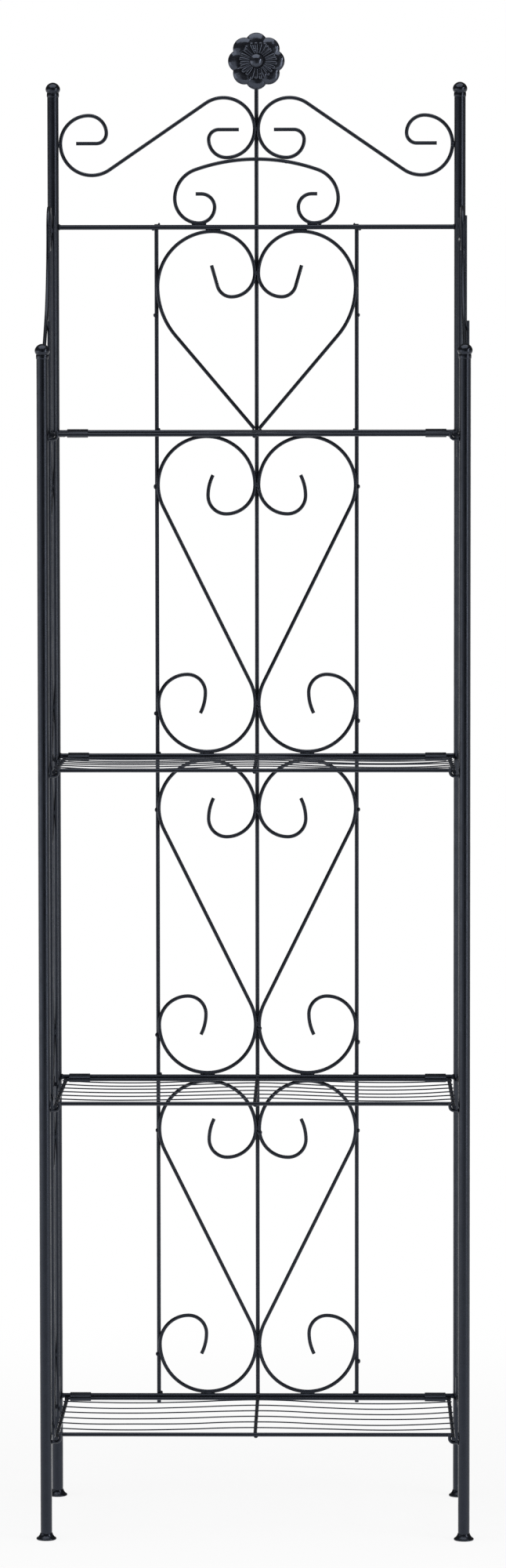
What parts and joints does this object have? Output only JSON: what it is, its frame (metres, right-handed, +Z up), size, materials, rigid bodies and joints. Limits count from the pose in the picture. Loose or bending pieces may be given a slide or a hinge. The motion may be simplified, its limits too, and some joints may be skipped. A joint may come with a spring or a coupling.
{
  "type": "bakers rack",
  "caption": "Tall folding bakers rack of coated steel rod: wire shelves that fold up against a scrolled back panel with a rosette crest, and scrolled side frames that swing.",
  "frame": {"origin": "on the floor, midway between the four feet", "axes": "+X to the right seen from the front, +Y to the back, +Z up"},
  "size_m": [0.5296, 0.3044, 1.8305],
  "materials": {
    "tube_coat": "satin-gloss near-black powder coat on steel tube",
    "rod_coat": "satin-gloss near-black powder coat on steel rod",
    "wire_coat": "satin near-black powder coat on thin steel wire",
    "rosette_coat": "gloss near-black powder coat on pressed steel sheet"
  },
  "bodies": {
    "back_panel": {"arch_scroll": "rod_coat", "back_finial_left": "tube_coat", "back_finial_right": "tube_coat", "back_foot_left": "tube_coat", "back_foot_right": "tube_coat", "back_post_left": "tube_coat", "back_post_right": "tube_coat", "centre_rod": "rod_coat", "crest_scroll_left": "rod_coat", "crest_scroll_right": "rod_coat", "heart_scroll_left": "rod_coat", "heart_scroll_right": "rod_coat", "inner_rod_left": "rod_coat", "inner_rod_right": "rod_coat", "rosette_button": "rosette_coat", "rosette_disc": "rosette_coat", "rosette_petals": "rosette_coat", "s_scroll_1_left": "rod_coat", "s_scroll_1_right": "rod_coat", "s_scroll_2_left": "rod_coat", "s_scroll_2_right": "rod_coat", "s_scroll_3_left": "rod_coat", "s_scroll_3_right": "rod_coat", "shelf_rail_1": "rod_coat", "shelf_rail_2": "rod_coat", "shelf_rail_3": "rod_coat", "shelf_rail_4": "rod_coat", "side_hinge_sleeves": "rod_coat", "top_rail": "rod_coat"},
    "side_frame_left": {"side_left_finial": "tube_coat", "side_left_foot": "tube_coat", "side_left_hinge_rod": "rod_coat", "side_left_hooks": "rod_coat", "side_left_post": "tube_coat", "side_left_rods": "rod_coat", "side_left_scrolls": "rod_coat", "side_left_sweep": "rod_coat", "side_left_ties": "rod_coat"},
    "side_frame_right": {"side_right_finial": "tube_coat", "side_right_foot": "tube_coat", "side_right_hinge_rod": "rod_coat", "side_right_hooks": "rod_coat", "side_right_post": "tube_coat", "side_right_rods": "rod_coat", "side_right_scrolls": "rod_coat", "side_right_sweep": "rod_coat", "side_right_ties": "rod_coat"},
    "shelf_1": {"shelf_1_frame": "rod_coat", "shelf_1_straps": "rod_coat", "shelf_1_wires": "wire_coat"},
    "shelf_2": {"shelf_2_frame": "rod_coat", "shelf_2_straps": "rod_coat", "shelf_2_wires": "wire_coat"},
    "shelf_3": {"shelf_3_frame": "rod_coat", "shelf_3_straps": "rod_coat", "shelf_3_wires": "wire_coat"},
    "shelf_4": {"shelf_4_frame": "rod_coat", "shelf_4_straps": "rod_coat", "shelf_4_wires": "wire_coat"}
  },
  "joints": [
    {"name": "shelf_1_fold", "type": "hinge", "parent": "back_panel", "child": "shelf_1", "pos_m": [0, 0.14, 0.127], "axis": [-1, 0, 0], "range_deg": [0, 80]},
    {"name": "shelf_2_fold", "type": "hinge", "parent": "back_panel", "child": "shelf_2", "pos_m": [0, 0.14, 0.53], "axis": [-1, 0, 0], "range_deg": [0, 80]},
    {"name": "shelf_3_fold", "type": "hinge", "parent": "back_panel", "child": "shelf_3", "pos_m": [0, 0.14, 0.933], "axis": [-1, 0, 0], "range_deg": [0, 80]},
    {"name": "shelf_4_fold", "type": "hinge", "parent": "back_panel", "child": "shelf_4", "pos_m": [0, 0.14, 1.336], "axis": [-1, 0, 0], "range_deg": [0, 80]},
    {"name": "side_left_swing", "type": "hinge", "parent": "back_panel", "child": "side_frame_left", "pos_m": [-0.2525, 0.12875, 0], "axis": [0, 0, -1], "range_deg": [0, 90]},
    {"name": "side_right_swing", "type": "hinge", "parent": "back_panel", "child": "side_frame_right", "pos_m": [0.2525, 0.12875, 0], "axis": [0, 0, 1], "range_deg": [0, 90]}
  ]
}
